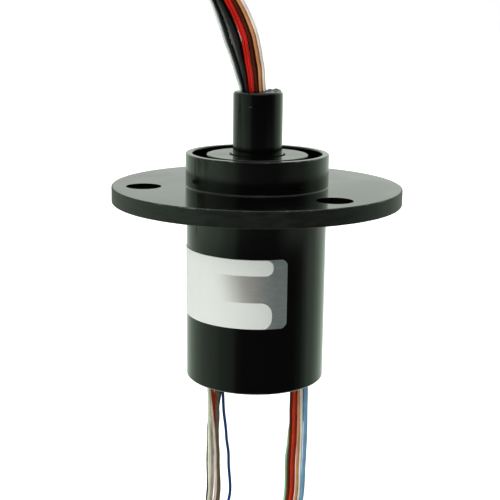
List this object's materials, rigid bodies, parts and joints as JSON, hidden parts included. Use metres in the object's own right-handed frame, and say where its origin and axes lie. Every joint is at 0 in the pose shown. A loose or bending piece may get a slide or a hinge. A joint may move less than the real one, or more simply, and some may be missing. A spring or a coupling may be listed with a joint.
{
  "type": "slip ring",
  "caption": "Capsule slip ring with a round mounting flange, a hollow shaft that turns without limit, and thin leads at both ends.",
  "frame": {"origin": "centre of the mounting flange's underside, on the axis of rotation", "axes": "+Z along the axis of rotation, towards the shaft; the first mounting hole lies at -50.4 degrees from +X"},
  "size_m": [0.0719, 0.047, 0.1437],
  "materials": {
    "housing_plastic": "black moulded plastic, gloss",
    "shaft_plastic": "black turned plastic, gloss",
    "label_silver": "silver foil sticker, satin",
    "board_green": "glass-epoxy board with green solder mask",
    "gold": "gold-plated, polished",
    "resin": "black potting resin, wet gloss",
    "bearing_steel": "ground and polished bearing steel",
    "cage_brass": "pressed brass",
    "nut_steel": "turned steel",
    "barrier_plastic": "natural insulating plastic",
    "tie_nylon": "natural nylon",
    "lead_white": "fluoropolymer insulation, satin",
    "lead_red": "fluoropolymer insulation, satin",
    "lead_blue": "fluoropolymer insulation, satin",
    "lead_brown": "fluoropolymer insulation, satin"
  },
  "bodies": {
    "stator": {"housing": "housing_plastic", "label": "label_silver", "rear_cover": "housing_plastic", "brush_board_left": "board_green", "brush_board_right": "board_green", "brushes_left": "gold", "brushes_right": "gold", "inner_leads_left": "lead_white", "inner_leads_right": "lead_white", "potting_left": "resin", "potting_right": "resin", "front_outer_race": "bearing_steel", "front_shields": "bearing_steel", "rear_outer_race": "bearing_steel", "rear_shields": "bearing_steel", "stator_leads_left": "lead_blue", "stator_hank_left": "lead_blue", "stator_tie_left": "tie_nylon", "stator_leads_right": "lead_brown", "stator_hank_right": "lead_brown", "stator_tie_right": "tie_nylon"},
    "rotor": {"rotor_shaft": "shaft_plastic", "stack_nut": "nut_steel", "insulating_barriers": "barrier_plastic", "contact_ring_01": "gold", "contact_ring_02": "gold", "contact_ring_03": "gold", "contact_ring_04": "gold", "contact_ring_05": "gold", "contact_ring_06": "gold", "contact_ring_07": "gold", "contact_ring_08": "gold", "contact_ring_09": "gold", "contact_ring_10": "gold", "contact_ring_11": "gold", "contact_ring_12": "gold", "contact_ring_13": "gold", "contact_ring_14": "gold", "contact_ring_15": "gold", "contact_ring_16": "gold", "contact_ring_17": "gold", "contact_ring_18": "gold", "rotor_inner_leads": "lead_white", "rotor_potting": "resin", "front_inner_race": "bearing_steel", "rear_inner_race": "bearing_steel", "rotor_leads": "lead_red", "rotor_hank": "lead_red", "rotor_tie": "tie_nylon"},
    "front_cage_ring": {"front_cage": "cage_brass", "front_balls": "bearing_steel"},
    "rear_cage_ring": {"rear_cage": "cage_brass", "rear_balls": "bearing_steel"}
  },
  "joints": [
    {"name": "rotor_spin", "type": "hinge", "parent": "stator", "child": "rotor", "pos_m": [0, 0, 0], "axis": [0, 0, 1], "continuous": true},
    {"name": "front_cage_spin", "type": "hinge", "parent": "stator", "child": "front_cage_ring", "pos_m": [0, 0, 0], "axis": [0, 0, 1], "continuous": true},
    {"name": "rear_cage_spin", "type": "hinge", "parent": "stator", "child": "rear_cage_ring", "pos_m": [0, 0, 0], "axis": [0, 0, 1], "continuous": true}
  ],
  "couplings": [
    {"joint": "front_cage_spin", "follows": "rotor_spin", "ratio": 0.45},
    {"joint": "rear_cage_spin", "follows": "rotor_spin", "ratio": 0.4385}
  ]
}
